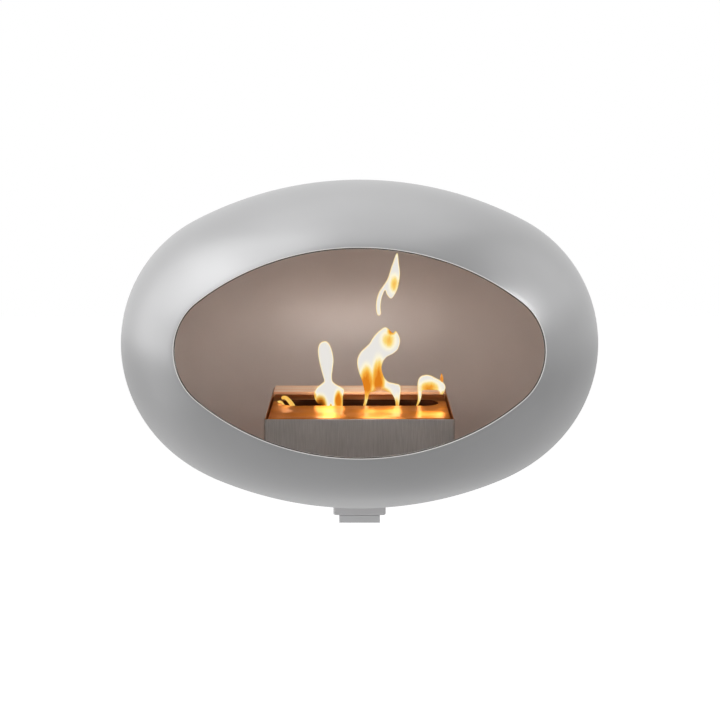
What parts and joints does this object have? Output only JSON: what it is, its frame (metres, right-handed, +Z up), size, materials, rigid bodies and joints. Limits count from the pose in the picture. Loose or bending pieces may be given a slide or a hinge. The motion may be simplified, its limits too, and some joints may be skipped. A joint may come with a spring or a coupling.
{
  "type": "wall-mounted dome fireplace",
  "caption": "Squashed silver-grey steel dome on a swivel wall bracket, with an oval mouth and a liquid-fuel burner whose sliding lid covers the flame slot.",
  "frame": {"origin": "centre of the four wall-screw holes, on the wall plate's back face", "axes": "+Z up, +X to the right of a viewer who faces the wall, +Y into the wall, so the mouth faces -Y"},
  "size_m": [0.575, 0.5818, 0.4175],
  "materials": {
    "bracket_coat": "satin powder coat",
    "bush_bronze": "turned, plain",
    "zinc_steel": "zinc plated",
    "black_steel": "blackened, matt",
    "shell_coat": "satin silver-grey coat",
    "foot_coat": "satin grey coat",
    "tray_steel": "bright rolled sheet",
    "burner_steel": "brushed stainless",
    "ceramic_board": "matt mineral board",
    "tank_steel": "plain rolled stainless",
    "wool_white": "soft mineral fibre"
  },
  "bodies": {
    "wall_bracket": {"wall_plate": "bracket_coat", "bracket_arm": "bracket_coat", "arm_gussets": "bracket_coat", "swivel_bush": "bush_bronze", "stop_pin": "zinc_steel", "lock_screw": "black_steel"},
    "dome": {"upper_shell": "shell_coat", "lower_shell": "shell_coat", "swivel_foot": "foot_coat", "spindle": "zinc_steel", "base_disc": "zinc_steel", "tray_bridge": "zinc_steel", "spill_tray": "tray_steel", "tray_rivets": "zinc_steel", "dome_screws": "black_steel"},
    "burner": {"burner_casing": "burner_steel", "insulation_board": "ceramic_board", "tank_spacers": "zinc_steel", "tank_screws": "zinc_steel", "fuel_tank": "tank_steel", "ceramic_wool": "wool_white", "top_plate": "burner_steel"},
    "lid": {"damper_lid": "burner_steel"}
  },
  "joints": [
    {"name": "dome_swivel", "type": "hinge", "parent": "wall_bracket", "child": "dome", "pos_m": [0, -0.3175, -0.0984], "axis": [0, 0, 1], "range_deg": [-60, 60]},
    {"name": "burner_lift", "type": "slide", "parent": "dome", "child": "burner", "axis": [0, 0, 1], "range_m": [0, 0.015]},
    {"name": "lid_slide", "type": "slide", "parent": "burner", "child": "lid", "axis": [0, -1, 0], "range_m": [0, 0.0737]}
  ]
}
